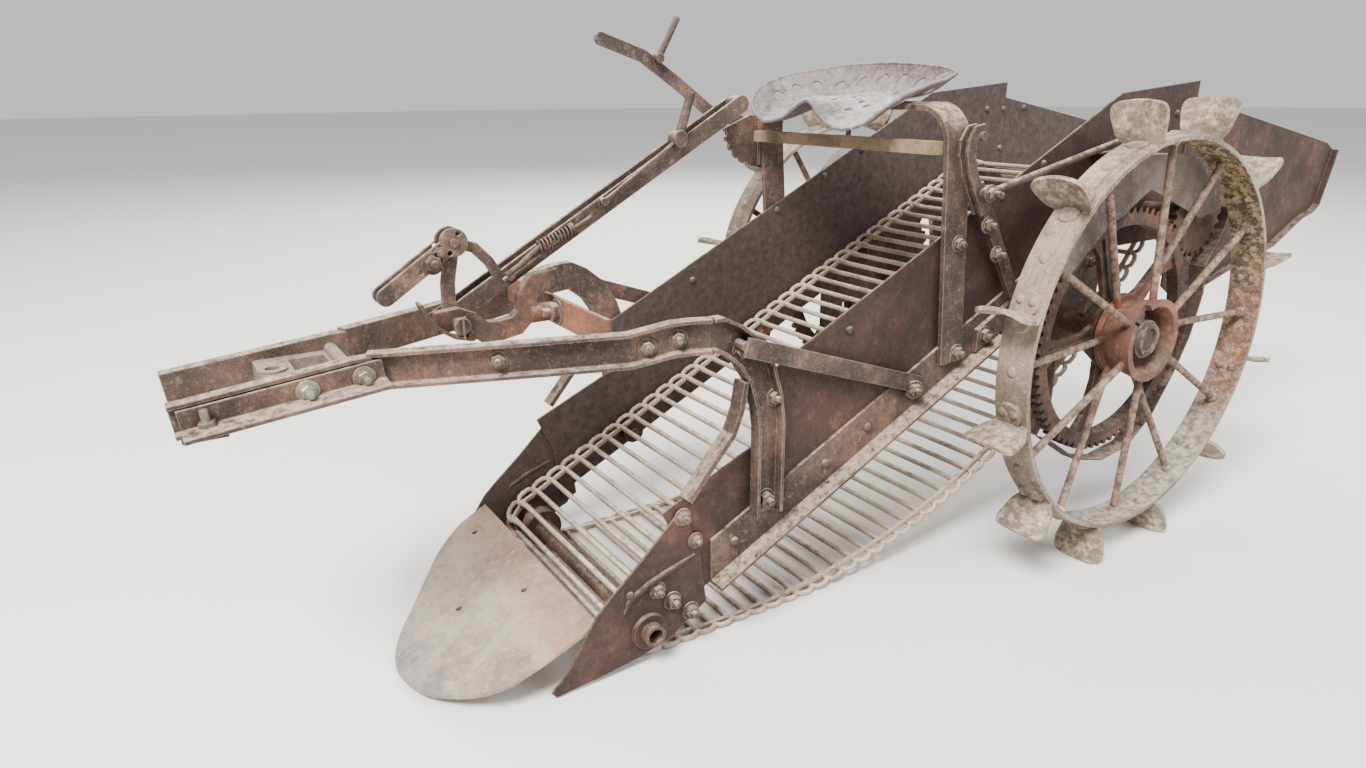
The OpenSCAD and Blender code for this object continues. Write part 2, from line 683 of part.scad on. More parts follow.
// Gear hood: a face outside the gear and a top that reaches in to the side sheet.
hood_x = gear_x + 17;
hood_top = [[-230, 649], [-165, 735], [-99, 796], [-45, 823], [10, 836], [110, 834], [205, 822]];
hood_low = [[324, 708], [240, 693], [195, 710], [36, 768], [15, 758], [-45, 723], [-91, 707], [-204, 615]];
module gear_hood(s) sided(s) placed() color("#9a9690") {
  plate(concat(hood_top, [[232, 806], [256, 762]], hood_low), hood_x, 3);
  plate(band(hood_top, 0, -3), hood_x - 62, 63);
  plate(band([[10, 836], [110, 834]], 0, -3), outer + seat_gap, hood_x - outer);
}

// Gear guard: a strip around the rear and the bottom of the ring gear.
// The strip's bends under the gear: [how far outside the teeth, angle about the axle].
guard_bends = [[63, 19], [60, 8], [38, -10], [25, -28], [33, -50], [43, -69], [35, -87], [22, -107],
  [14, -132]];
guard_w = 36;
guard_path = concat(arc([head_y, head_z], pinion_root + tooth_h + 9, 5, -36, 3),
  [for (q = guard_bends) [0, axle_drawn] + polar(gear_r + q[0], q[1])]);
guard_foot = [-150, 330];
guard_in = outer + angle_t + 10;
module gear_guard(s) sided(s) placed() color("#8a7466") {
  plate(band(guard_path, 1.5, -1.5), hood_x - guard_w, guard_w);
  plate(band([guard_path[len(guard_path) - 1], guard_foot, [guard_foot[0], hanger_z + 40]], 2, -2),
    guard_in + seat_gap, hood_x - guard_w + 2 - guard_in);
}

link_t = 8;
module rod_chain() placed() color("#a89a8a") {
  for (p = chain_points)
    across(p, -rod_half, rod_half, rod_d / 2);
  for (s = [-1, 1])
    sided(s)
      for (i = [0:rod_n - 1])
        plate(band([chain_points[i], chain_points[(i + 1) % rod_n]], link_t / 2, -link_t / 2),
          rod_half - link_t - 2 + 0.5 * (i % 2), link_t);
}

// Wheels: a rim with spade lugs, and a hub with two rows of spokes.
rim_mid = rim_x - rim_w / 2;
lug_root = 4;
lug_x = lug_w / 2;
lug_side = [[rim_w / 2 - 8, 0], [lug_x, 32], [lug_x - 4, lug_h - 22], [lug_x - 26, lug_h + lug_root]];
module lug() translate([0, 0, rim_r - lug_root])
  rotate([90, 0, 0])
    linear_extrude(lug_t, center = true)
      polygon(concat(lug_side, rev([for (q = lug_side) [-q[0], q[1]]])));
module rim(s) sided(s) placed() color("#8d857b")
  translate([rim_mid, 0, axle_drawn]) {
    rotate([0, 90, 0])
      difference() {
        union() {
          cylinder(r = rim_r, h = rim_w, center = true, $fn = 128);
          cylinder(r = rim_r + 3, h = 26, center = true, $fn = 128);
        }
        cylinder(r = rim_r - rim_t, h = rim_w + 2, center = true, $fn = 128);
      }
    for (i = [0:spoke_n - 1])
      rotate([slope * (2 * i + 1), 0, 0])
        lug();
  }

// Hub: an open barrel with the ratchet inside, broken at its rim, and the spokes in two rows.
hub_in = gear_x + 17;
module hub(s) sided(s) placed() color("#b0603a")
  translate([0, 0, axle_drawn]) {
    difference() {
      union() {
        translate([hub_in, 0, 0])
          rotate([0, 90, 0])
            cylinder(r1 = hub_r - 18, r2 = hub_r, h = hub_x - hub_in, $fn = 64);
        translate([hub_in, 0, 0])
          rotate([0, 90, 0])
            cylinder(r = hub_r - 3, h = 12, $fn = 64);
      }
      translate([hub_in + 26, 0, 0])
        rotate([0, 90, 0])
          cylinder(r1 = hub_r - 24, r2 = hub_r - 11, h = hub_x - hub_in, $fn = 64);
      rotate([0, 90, 0])
        translate([0, 0, hub_in - 20])
          cylinder(r = axle_r + fit, h = 60, $fn = 64);
      rotate([38, 0, 0])
        translate([hub_x - 13, -30, hub_r - 40])
          cube([40, 52, 60]);
    }
    difference() {
      union() {
        across([0, 0], hub_in + 25, hub_x - 16, 40);
        across([0, 0], hub_in + 25, hub_x - 8, 33);
        across(polar(56, 118), hub_in + 25, hub_x - 20, 14);
      }
      across([0, 0], hub_in, hub_x + 20, axle_r + fit);
    }
    difference() {
      for (i = [0:spoke_n - 1])
        rotate([2 * slope * i, 0, 0])
          rod([i % 2 == 0 ? hub_x - 16 : hub_in + 12, 0, hub_r - 18], [rim_mid, 0, rim_r], spoke_d);
      difference() {
        translate([rim_mid, 0, 0])
          rotate([0, 90, 0])
            cylinder(r = rim_r + 60, h = 2 * rim_w, center = true, $fn = 128);
        translate([rim_mid, 0, 0])
          rotate([0, 90, 0])
            cylinder(r = rim_r - rim_t, h = 3 * rim_w, center = true, $fn = 128);
      }
    }
  }

shovel();
nose(1);  // nose_left
nose(-1);  // nose_right
side_sheet(1);  // sheet_left
side_sheet(-1);  // sheet_right
wing(1);  // wing_left
wing(-1);  // wing_right
side_angle(1);  // angle_left
side_angle(-1);  // angle_right
draft_beam(1);  // beam_left
draft_beam(-1);  // beam_right
brace(1);  // brace_left
brace(-1);  // brace_right
strap(1);  // strap_left
strap(-1);  // strap_right
hitch_angle();
hitch_plate();
hitch_casting();
cross_bar();
lever_bracket();
lift_lever();
front_link();
shift_lever();
shift_quadrant();
seat();
seat_arch();
seat_crossbar();
throwout();
throwout_rod();
axle();
axle_hanger(1);  // hanger_left
axle_hanger(-1);  // hanger_right
ring_gear(1);  // gear_left
ring_gear(-1);  // gear_right
head_shaft();
foot_shaft();
chain_rollers();
gear_hood(1);  // hood_left
gear_hood(-1);  // hood_right
gear_guard(1);  // guard_left
gear_guard(-1);  // guard_right
rod_chain();
rim(1);  // rim_left
rim(-1);  // rim_right
hub(1);  // hub_left
hub(-1);  // hub_right
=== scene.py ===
import json
import math
import random

import bpy
import numpy as np
from mathutils import Matrix, Vector
from mathutils.geometry import delaunay_2d_cdt


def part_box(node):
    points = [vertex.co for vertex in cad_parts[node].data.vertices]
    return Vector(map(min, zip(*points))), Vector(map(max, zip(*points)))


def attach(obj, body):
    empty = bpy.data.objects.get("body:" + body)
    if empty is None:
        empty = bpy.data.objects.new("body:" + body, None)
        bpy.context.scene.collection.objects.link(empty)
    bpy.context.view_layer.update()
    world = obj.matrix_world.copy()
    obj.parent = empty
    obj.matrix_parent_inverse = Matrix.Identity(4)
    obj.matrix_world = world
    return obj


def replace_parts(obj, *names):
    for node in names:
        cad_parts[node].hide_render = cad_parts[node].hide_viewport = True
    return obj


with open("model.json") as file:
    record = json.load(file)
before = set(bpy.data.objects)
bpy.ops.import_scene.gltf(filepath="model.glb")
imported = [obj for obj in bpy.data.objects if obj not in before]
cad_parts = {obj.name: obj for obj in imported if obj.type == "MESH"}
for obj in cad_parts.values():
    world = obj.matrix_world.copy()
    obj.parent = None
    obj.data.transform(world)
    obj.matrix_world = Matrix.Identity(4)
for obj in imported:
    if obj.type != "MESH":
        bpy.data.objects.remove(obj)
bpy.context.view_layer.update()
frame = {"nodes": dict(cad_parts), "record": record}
random.seed(7)

# Places are in the source's millimetres: x, y from the axle, z with the axle at 472.54.
axle_lo, axle_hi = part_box("axle")
AXLE = (axle_lo + axle_hi) / 2
AXLE_DRAWN = 0.47254
SIDES = (1, -1)  # the machine's left and right
DULL = 0.24  # how far every colour is drawn towards grey
BROAD, PATCH, FINE, GRIT = 6, 58, 230, 620  # noise scales, per metre


def at(x, y, z):
    return np.array([x / 1000, y / 1000 + AXLE.y, z / 1000 + AXLE.z - AXLE_DRAWN])


def unit(v):
    v = np.asarray(v, float)
    return v / np.linalg.norm(v)


def srgb(r, g, b):
    """A linear colour from sRGB bytes."""
    mean = 0.3 * r + 0.6 * g + 0.1 * b
    dulled = [(c + DULL * (mean - c)) / 255 for c in (r, g, b)]
    return tuple(c / 12.92 if c <= 0.04045 else ((c + 0.055) / 1.055) ** 2.4 for c in dulled) + (1.0,)


# ---- materials -------------------------------------------------------------------------------


class Tree:
    """A material's node tree with short names for the nodes that are used here."""

    def __init__(self, name):
        self.mat = bpy.data.materials.new(name)
        self.mat.use_nodes = True
        self.nt = self.mat.node_tree
        self.nt.nodes.clear()
        self.coord = self.add("ShaderNodeTexCoord").outputs["Object"]
        self.geo = self.add("ShaderNodeNewGeometry")

    def add(self, kind, ins=None, **props):
        n = self.nt.nodes.new(kind)
        for k, v in props.items():
            setattr(n, k, v)
        for k, v in (ins or {}).items():
            if isinstance(v, bpy.types.NodeSocket):
                self.nt.links.new(v, n.inputs[k])
            else:
                n.inputs[k].default_value = v
        return n

    def stretch(self, scale, turn=(0, 0, 0)):
        return self.add("ShaderNodeMapping", {"Vector": self.coord, "Rotation": turn, "Scale": scale}).outputs[0]

    def noise(self, scale, detail=6.0, rough=0.6, warp=0.0, vec=None):
        return self.add("ShaderNodeTexNoise", {"Vector": vec or self.coord, "Scale": scale, "Detail": detail,
                                               "Roughness": rough, "Distortion": warp}).outputs["Fac"]

    def calc(self, op, a, b=0.5, c=0.0):
        return self.add("ShaderNodeMath", {0: a, 1: b, 2: c}, operation=op).outputs[0]

    def step(self, fac, lo, hi):
        """0 below lo, 1 above hi, smooth between; lo may be above hi."""
        ends = {"From Min": lo, "From Max": hi, "To Min": 0.0, "To Max": 1.0}
        return self.add("ShaderNodeMapRange", {"Value": fac, **ends}, interpolation_type="SMOOTHSTEP").outputs[0]

    def mix(self, fac, a, b, blend="MIX"):
        n = self.add("ShaderNodeMix", data_type="RGBA", blend_type=blend)
        for k, v in ((0, fac), (6, a), (7, b)):
            if isinstance(v, bpy.types.NodeSocket):
                self.nt.links.new(v, n.inputs[k])
            else:
                n.inputs[k].default_value = v
        return n.outputs[2]

    def finish(self, color, rough, height, depth, metal=0.0, normal=None):
        more = {"Normal": normal} if normal else {}
        bump = self.add("ShaderNodeBump", {"Height": height, "Strength": 1.0, "Distance": depth, **more}).outputs[0]
        shader = self.add("ShaderNodeBsdfPrincipled",
                          {"Base Color": color, "Roughness": rough, "Metallic": metal, "Normal": bump})
        self.nt.links.new(shader.outputs[0], self.add("ShaderNodeOutputMaterial").inputs[0])
        return self.mat


def iron(name, base, dark, light, dust, dust_amount=0.5, edge=0.5, streak=0.0, rough=(0.55, 0.9), depth=0.0012,
         metal=0.0, tint=None, tint_at=0.58, special=None, speck=0.5, mottle=1.0):
    """Weathered iron: broad and fine colour changes, pits, scratches, worn edges and dust on what faces up."""
    t = Tree(name)
    broad = t.noise(BROAD, 4, 0.6, 0.5)
    patch = t.noise(PATCH, 8, 0.74)
    fine = t.noise(FINE, 4, 0.74)
    grit = t.noise(GRIT, 2, 0.6)
    color = t.mix(t.step(broad, 0.38, 0.64), dark, base)
    if tint:
        both = t.calc("MULTIPLY_ADD", broad, 0.5, t.calc("MULTIPLY", patch, 0.5))
        spot = t.step(both, tint_at - 0.05, tint_at + 0.03)
        color = t.mix(t.calc("MULTIPLY", spot, 0.8), color, tint)
    if special:
        color = special(t, color, broad, patch)
    color = t.mix(t.calc("MULTIPLY", t.step(patch, 0.53, 0.68), 0.4 * mottle), color, light)
    color = t.mix(t.calc("MULTIPLY", t.step(patch, 0.46, 0.34), 0.5 * mottle), color, dark)
    color = t.mix(t.calc("MULTIPLY", t.step(fine, 0.54, 0.70), speck), color, light)
    color = t.mix(t.calc("MULTIPLY", t.step(fine, 0.46, 0.32), speck), color, dark)
    color = t.mix(t.calc("MULTIPLY", t.step(grit, 0.60, 0.72), speck), color, light)
    if streak:
        lines = t.noise(1.0, 3, 0.75, vec=t.stretch((620, 520, 30), (0.3, 0.25, 0)))
        color = t.mix(t.calc("MULTIPLY", t.step(lines, 0.64, 0.78), streak), color, dust)
    up = t.add("ShaderNodeSeparateXYZ", {0: t.geo.outputs["Normal"]}).outputs[2]
    dusty = t.calc("MULTIPLY", t.step(up, 0.25, 0.95), t.step(patch, 0.34, 0.60))
    color = t.mix(t.calc("MULTIPLY", dusty, dust_amount), color, dust)
    worn = t.add("ShaderNodeBevel", {"Radius": 0.003}, samples=2).outputs[0]
    same = t.add("ShaderNodeVectorMath", {0: worn, 1: t.geo.outputs["Normal"]},
                 operation="DOT_PRODUCT").outputs["Value"]
    rim = t.calc("MULTIPLY", t.step(same, 0.985, 0.86), t.step(fine, 0.30, 0.55))
    color = t.mix(t.calc("MULTIPLY", rim, edge), color, dust)
    r = t.add("ShaderNodeMapRange", {"Value": patch, "From Min": 0.3, "From Max": 0.7,
                                     "To Min": rough[1], "To Max": rough[0]}).outputs[0]
    h = t.calc("MULTIPLY_ADD", patch, 0.9, t.calc("MULTIPLY", fine, 0.5))
    h = t.calc("MULTIPLY_ADD", grit, 0.16, h)
    return t.finish(color, r, h, depth, metal, worn)


def inner_sheet(t, color, broad, patch):
    """The side sheets' inner faces are grey-brown."""
    facing = t.add("ShaderNodeSeparateXYZ", {0: t.geo.outputs["Normal"]}).outputs[0]
    side = t.add("ShaderNodeSeparateXYZ", {0: t.coord}).outputs[0]
    inward = t.step(t.calc("MULTIPLY", facing, side), 0.0, -0.05)
    grey = t.mix(t.step(patch, 0.30, 0.70), srgb(70, 58, 54), srgb(88, 77, 72))
    return t.mix(t.calc("MULTIPLY", inward, 0.9), color, grey)


def from_axle(t):
    """Distance from the axle's line, and the vector's parts."""
    rel = t.add("ShaderNodeVectorMath", {0: t.coord, 1: (0, AXLE.y, AXLE.z)}, operation="SUBTRACT").outputs[0]
    xyz = t.add("ShaderNodeSeparateXYZ", {0: rel}).outputs
    r = t.calc("SQRT", t.calc("MULTIPLY_ADD", xyz[1], xyz[1], t.calc("MULTIPLY", xyz[2], xyz[2])))
    return r, xyz


def hub_parts(t, color, broad, patch):
    """Orange barrel, dark ratchet inside it, grey-brown spokes."""
    r, xyz = from_axle(t)
    spoke = t.mix(t.step(patch, 0.40, 0.62), srgb(104, 76, 62), srgb(148, 126, 108))
    color = t.mix(t.step(r, 0.090, 0.125), color, spoke)
    deep = t.mix(t.step(patch, 0.42, 0.58), srgb(52, 52, 46), srgb(104, 98, 84))
    return t.mix(t.step(r, 0.066, 0.055), color, deep)


def rim_parts(t, color, broad, patch):
    """The rim's inner face is golden brown above, orange-brown at the rear and grey below."""
    r, xyz = from_axle(t)
    inside = t.step(r, 0.3995, 0.398)
    gold = t.mix(t.step(patch, 0.44, 0.56), srgb(76, 60, 40), srgb(160, 132, 90))
    rear = t.mix(t.step(patch, 0.40, 0.60), srgb(112, 72, 52), srgb(150, 112, 88))
    low = t.mix(t.step(patch, 0.40, 0.60), srgb(112, 104, 96), srgb(154, 146, 138))
    face = t.mix(t.step(xyz[2], 0.20, 0.0), gold, rear)
    face = t.mix(t.step(xyz[2], -0.16, -0.30), face, low)
    color = t.mix(inside, color, face)
    lug = t.step(r, 0.415, 0.44)
    lichen = t.mix(t.step(patch, 0.45, 0.6), srgb(122, 104, 84), srgb(196, 180, 148))
    return t.mix(t.calc("MULTIPLY", lug, 0.6), color, lichen)


def shovel_rust_and_painted_sheen(t, color, broad, patch):
    """A rust-orange band along the rear edge, and a painted bluish sheen at the tip: a sky reflection painted into
    the colour.
    """
    y = t.add("ShaderNodeSeparateXYZ", {0: t.coord}).outputs[1]
    lo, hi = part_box("shovel")
    wave = t.calc("MULTIPLY_ADD", patch, 0.10, y)
    color = t.mix(t.calc("MULTIPLY", t.step(wave, hi.y - 0.05, hi.y + 0.02), 0.75), color, srgb(164, 112, 80))
    # painted reflection: the tip is tinted bluish grey as if it mirrored the sky
    return t.mix(t.calc("MULTIPLY", t.step(wave, lo.y + 0.13, lo.y + 0.05), 0.6), color, srgb(112, 116, 132))


DUST = srgb(168, 148, 128)
MATS = {
    "sheet_steel": iron("sheet_steel", srgb(86, 55, 47), srgb(58, 38, 34), srgb(122, 94, 84), srgb(172, 148, 130),
                        0.5, 0.75, 0.35, tint=srgb(114, 70, 50), tint_at=0.60, special=inner_sheet, speck=0.35,
                        mottle=0.35),
    "bar_iron": iron("bar_iron", srgb(106, 80, 69), srgb(66, 50, 44), srgb(152, 128, 112), srgb(192, 172, 150),
                     0.75, 0.8, 0.15, tint=srgb(130, 90, 68)),
    "cast_iron": iron("cast_iron", srgb(104, 76, 62), srgb(62, 45, 39), srgb(138, 106, 86), DUST,
                      0.5, 0.55, depth=0.0018, tint=srgb(146, 86, 54)),
    "worn_steel": iron("worn_steel", srgb(180, 168, 156), srgb(146, 128, 114), srgb(206, 198, 190),
                       srgb(200, 190, 180), 0.25, 0.4, 0.3, (0.36, 0.6), 0.0006, 0.25, tint=srgb(170, 126, 98),
                       special=shovel_rust_and_painted_sheen, speck=0.25),
    "seat_steel": iron("seat_steel", srgb(130, 119, 119), srgb(84, 71, 67), srgb(176, 167, 169), srgb(182, 174, 174),
                       0.3, 0.5, 0.0, (0.45, 0.75), 0.0009, 0.1, tint=srgb(118, 100, 90), speck=0.8, mottle=1.2),
    "rod_steel": iron("rod_steel", srgb(188, 170, 150), srgb(140, 116, 96), srgb(214, 200, 184), srgb(222, 210, 194),
                      0.7, 0.1, 0.0, (0.5, 0.75), 0.0008, tint=srgb(150, 108, 78), speck=0.4),
    "wheel_iron": iron("wheel_iron", srgb(160, 146, 128), srgb(112, 94, 78), srgb(194, 182, 166), srgb(196, 184, 168),
                       0.35, 0.5, 0.0, depth=0.0014, tint=srgb(138, 108, 78), special=rim_parts, speck=0.6),
    "hub_iron": iron("hub_iron", srgb(134, 90, 70), srgb(100, 66, 52), srgb(166, 126, 104), srgb(166, 140, 120),
                     0.3, 0.5, 0.0, depth=0.0018, tint=srgb(176, 94, 50), tint_at=0.56, special=hub_parts,
                     speck=0.35),
    "grey_casting": iron("grey_casting", srgb(128, 116, 106), srgb(88, 76, 68), srgb(162, 150, 138),
                         srgb(172, 160, 146), 0.5, 0.5, 0.1, tint=srgb(118, 88, 66), speck=0.3),
    "tan_bar": iron("tan_bar", srgb(152, 128, 98), srgb(108, 84, 62), srgb(184, 162, 132), srgb(190, 170, 142),
                    0.5, 0.5, 0.4, tint=srgb(136, 98, 66), speck=0.35),
    "orange_plate": iron("orange_plate", srgb(138, 88, 66), srgb(96, 62, 50), srgb(168, 124, 98), DUST,
                         0.5, 0.5, tint=srgb(164, 92, 58), speck=0.4),
}
SLOT = {s["node"]: s["material_slot"] for s in frame["record"]["subparts"]}
for name, obj in frame["nodes"].items():
    obj.data.materials.clear()
    obj.data.materials.append(MATS[SLOT[name]])

# ---- shapes ----------------------------------------------------------------------------------


def inside(p, poly):
    x, y = poly[:, 0], poly[:, 1]
    x2, y2 = np.roll(x, -1), np.roll(y, -1)
    cross = ((y > p[1]) != (y2 > p[1])) & (p[0] < (x2 - x) * (p[1] - y) / (y2 - y + 1e-12) + x)
    return cross.sum() % 2 == 1


def smooth_ring(ring, n):
    """A closed curve through the ring's points, with n steps between two of them."""
    out = []
    for i in range(len(ring)):
        p0, p1, p2, p3 = (ring[(i + k) % len(ring)] for k in (-1, 0, 1, 2))
        for u in np.arange(n) / n:
            out.append(0.5 * (2 * p1 + (p2 - p0) * u + (2 * p0 - 5 * p1 + 4 * p2 - p3) * u ** 2
                              + (3 * p1 - p0 - 3 * p2 + p3) * u ** 3))
    return np.array(out)


class Kit:
    """Collects small shapes into one mesh."""

    def __init__(self):
        self.v, self.f, self.smooth, self.n = [], [], [], 0

    def put(self, verts, faces, smooth=True):
        self.v.append(np.asarray(verts, float))
        self.f += [tuple(i + self.n for i in q) for q in faces]
        self.smooth += [smooth] * len(faces)
        self.n += len(verts)

    def rings(self, rings, closed=False, smooth=True):
        """A skin over rings of points, all of one length."""
        k, m = len(rings[0]), len(rings)
        faces = []
        for i in range(m if closed else m - 1):
            a, b = i * k, ((i + 1) % m) * k
            faces += [(a + j, a + (j + 1) % k, b + (j + 1) % k, b + j) for j in range(k)]
        self.put(np.concatenate(rings), faces, smooth)
        if not closed:
            self.put(rings[0], [tuple(range(k))[::-1]], False)
            self.put(rings[-1], [tuple(range(k))], False)

    def lathe(self, at_, axis, profile, sides=20, turn=0.0, smooth=True):
        """profile: (distance along the axis, radius) in metres."""
        axis = unit(axis)
        u = unit(np.cross(axis, (0, 0, 1) if abs(axis[2]) < 0.9 else (1, 0, 0)))
        w = np.cross(axis, u)
        a = np.arange(sides) * 2 * math.pi / sides + turn
        circle = np.outer(np.cos(a), u) + np.outer(np.sin(a), w)
        self.rings([np.asarray(at_) + d * axis + r * circle for d, r in profile], smooth=smooth)

    def tube(self, path, r, sides=10, closed=False):
        path = [np.asarray(p, float) for p in path]
        m = len(path)
        rad = r if hasattr(r, "__len__") else [r] * m
        last, rings = None, []
        for i, p in enumerate(path):
            a = path[i - 1] if i or closed else p
            b = path[(i + 1) % m] if i < m - 1 or closed else p
            d = unit(b - a)
            u = np.cross(d, (1, 0.03, 0.02)) if last is None else last - d * (last @ d)
            last = u = unit(u)
            w = np.cross(d, u)
            t = np.arange(sides) * 2 * math.pi / sides
            rings.append(p + rad[i] * (np.outer(np.cos(t), u) + np.outer(np.sin(t), w)))
        self.rings(rings, closed=closed)

    def plate(self, outline, holes, grid, top, low):
        """A plate with round holes (x, y, r): top and low give the points of its two skins."""
        flat, edges = [], []
        turn = np.arange(20) * math.pi / 10
        circles = [np.column_stack([x + r * np.cos(turn), y + r * np.sin(turn)]) for x, y, r in holes]
        for q in [outline] + circles:
            n = len(flat)
            flat += [tuple(p) for p in q]
            edges += [(n + i, n + (i + 1) % len(q)) for i in range(len(q))]
        lo, hi = outline.min(0), outline.max(0)
        mid = (lo + hi) / 2
        core = mid + (outline - mid) * 0.97
        for i, x in enumerate(np.arange(lo[0], hi[0], grid)):
            for y in np.arange(lo[1] + grid / 2 * (i % 2), hi[1], grid):
                if inside((x, y), core) and all(math.hypot(x - h[0], y - h[1]) > h[2] + grid / 3 for h in holes):
                    flat.append((x, y))
        got = delaunay_2d_cdt([Vector(p) for p in flat], edges, [], 1, 1e-5)
        pts = np.array([tuple(p) for p in got[0]])
        tris = []
        for f in got[2]:
            c = pts[list(f)].mean(0)
            if inside(c, outline) and all(math.hypot(c[0] - h[0], c[1] - h[1]) > h[2] * 0.98 for h in holes):
                tris.append(tuple(f))
        n = len(pts)
        used = {(f[i], f[(i + 1) % len(f)]) for f in tris for i in range(len(f))}
        wall = [(a, b) for a, b in used if (b, a) not in used]
        up, down = np.array(top(pts[:, 0], pts[:, 1])), np.array(low(pts[:, 0], pts[:, 1]))
        self.put(np.concatenate([up, down]), tris + [tuple(i + n for i in f[::-1]) for f in tris])
        for a, b in wall:
            self.put([up[b], up[a], down[a], down[b]], [(0, 1, 2, 3)], False)

    def piece(self, name, body, material, slot=None):
        me = bpy.data.meshes.new(name)
        me.from_pydata(np.concatenate(self.v).tolist(), [], self.f)
        me.materials.append(material)
        me.polygons.foreach_set("use_smooth", self.smooth)
        me.validate()
        me.update()
        obj = bpy.data.objects.new(name, me)
        bpy.context.scene.collection.objects.link(obj)
        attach(obj, body)
        return obj


def hex_bolt(kit, p, axis, size, tail=0.6):
    """A hexagon nut with a washer and the bolt's end; size is half the nut's width across corners."""
    p = np.asarray(p) - unit(axis) * 0.0005  # the washer's foot lies this far inside what it sits on
    turn = random.random()
    kit.lathe(p, axis, [(0, size * 1.38), (0.0022, size * 1.38), (0.0026, size * 1.3)], 20)
    base = 0.0024
    top = base + size * 0.775
    kit.lathe(p, axis, [(base, size), (top - 0.0015, size), (top, size * 0.86)], 6, turn, smooth=False)
    end = top + size * tail
    kit.lathe(p, axis, [(top, size * 0.5), (end, size * 0.5), (end + 0.0012, size * 0.4)], 12)


def rivet(kit, p, axis, r):
    p = np.asarray(p) - unit(axis) * 0.0006
    kit.lathe(p, axis, [(0, r), (r * 0.35, r * 0.93), (r * 0.62, r * 0.62), (r * 0.72, r * 0.25)], 14)


# ---- bolts, nuts and rivets ------------------------------------------------------------------

iron_bolts, bright_bolts = Kit(), Kit()
WEB = (0.93, -0.38, 0)
# x, y, z, outward direction, size in mm: on both sides of the machine
OUT = (1, 0, 0)
BOLTS = (
    (152, -1274.5, 568.5, WEB, 11.5), (240.8, -1055, 575, WEB, 11.5), (260, -1008, 587, WEB, 11.5),
    (279.4, -897, 553, OUT, 13), (279.4, -824, 455, OUT, 12), (279.4, -838, 262, OUT, 15),
    (283, -474, 402, (0.95, -0.3, 0), 14), (283.4, -386.5, 682, OUT, 12), (283.4, -362.6, 460, OUT, 13),
    (283.2, -282, 484, OUT, 14), (283.2, -190, 500, OUT, 12), (283.2, -60, 565, OUT, 12), (283.2, 50, 600, OUT, 12),
    (271.2, -1010, 270, OUT, 12), (271.2, -984, 217, OUT, 11), (271.2, -1063, 143, OUT, 12),
    (271.2, -1033, 112, OUT, 13), (271.2, -995, 78, OUT, 13),
)
# y, z of rivets through the side sheets, and through sheets and wings
RIVETS = ((-395, 688), (-131, 817), (-640, 545), (-250, 760), (150, 900), (330, 905), (398, 905), (398, 800),
          (398, 700), (398, 620), (492, 907), (470, 560))
for s in SIDES:
    for x, y, z, out, size in BOLTS:
        hex_bolt(iron_bolts, at(s * x, y, z), (s * out[0], out[1], out[2]), size / 1000)
    for y, z in RIVETS:
        wing = y > 395
        rivet(iron_bolts, at(s * (267 if y > 450 else 263), y, z), (-s, 0, 0), 0.0085)
        rivet(iron_bolts, at(s * (271 if wing else 267), y, z), (s, 0, 0), 0.0085)
    for y in range(-900, -60, 105):
        z = 583 + math.tan(math.radians(26)) * y + 46
        rivet(iron_bolts, at(s * 273.2, y, z), (s, 0, 0), 0.0095)
    # a rivet of the nose plate
    rivet(iron_bolts, at(s * 271.2, -1117, 150), (s, 0, 0), 0.008)
for x, y, z, size in ((307.5, -359, 779, 12), (289.4, -329, 715, 12), (289.4, -294, 655, 12)):
    hex_bolt(iron_bolts, at(x + (18 if x > 300 else 12), y, z), (1, 0, 0), size / 1000, tail=0.9)
for x, y, z, size in ((104.4, -1549, 556, 12.5), (104.4, -1468, 563, 12.5)):
    hex_bolt(bright_bolts, at(x, y, z), (1, 0, 0), size / 1000, tail=1.1)
hex_bolt(bright_bolts, at(112, -1683.5, 530), (0.0, -0.1, 1), 0.0125, tail=1.3)
# the bracket's bolt through the cross plate and the lever's pivot with its cotter
hex_bolt(iron_bolts, at(25, -1112, 597), (0, -1, 0.05), 0.017, tail=0.8)
pivot = at(48, -1292, 602)
iron_bolts.lathe(pivot, (1, 0, 0), [(-0.004, 0.015), (0.0, 0.015), (0.001, 0.013)], 18)
cotter = [pivot + (0.006, 0, dz / 1000) for dz in (-22, -10, 0, 10, 15)] + [pivot + (0.006, 0.004, 0.017)]
iron_bolts.tube(cotter, 0.0022, 6)
iron_bolts.piece("bolts", "frame", MATS["bar_iron"], "bar_iron")
zinc = iron("zinc", srgb(150, 152, 132), srgb(112, 102, 80), srgb(186, 188, 172), DUST,
            0.3, 0.4, 0.0, (0.35, 0.55), 0.0005, 0.5)
bright_bolts.piece("hitch_bolts", "frame", zinc)

# The nose plates' pressed ridge.
ridge = Kit()
for s in SIDES:
    ridge.tube([at(s * 271, y, z) for y, z in ((-1130, 118), (-1117, 142), (-1080, 160), (-1030, 176), (-985, 190))],
               [0.002, 0.006, 0.007, 0.006, 0.002], 8)
ridge.piece("nose_ridges", "frame", MATS["sheet_steel"], "sheet_steel")

# ---- the lift lever's spring and link bolts ---------------------------------------------------

